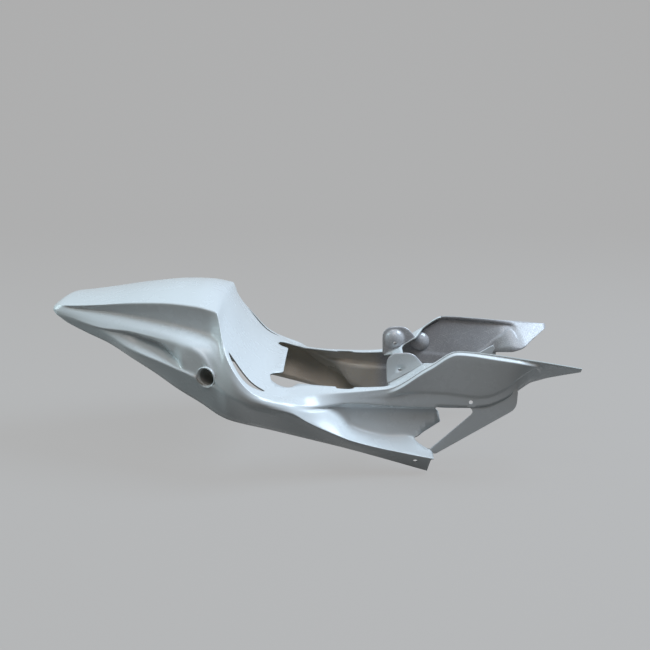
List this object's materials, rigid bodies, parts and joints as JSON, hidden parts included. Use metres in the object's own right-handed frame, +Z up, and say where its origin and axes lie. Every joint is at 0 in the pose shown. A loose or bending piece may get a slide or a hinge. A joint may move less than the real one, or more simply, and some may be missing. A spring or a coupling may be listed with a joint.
{
  "type": "motorbike seat cowl",
  "caption": "Thin moulded tail and seat shell of a racing motorbike, with a raised tail hump, an open seat floor and long side wings that reach along the fuel tank.",
  "frame": {"origin": "midway between the two ear bolt holes, on their common axis", "axes": "+X towards the front of the bike, +Y to its left, +Z up"},
  "size_m": [0.923, 0.3674, 0.3068],
  "materials": {
    "gelcoat": "glossy white gelcoat"
  },
  "bodies": {
    "root": {"seat_cowl": "gelcoat"}
  },
  "joints": []
}
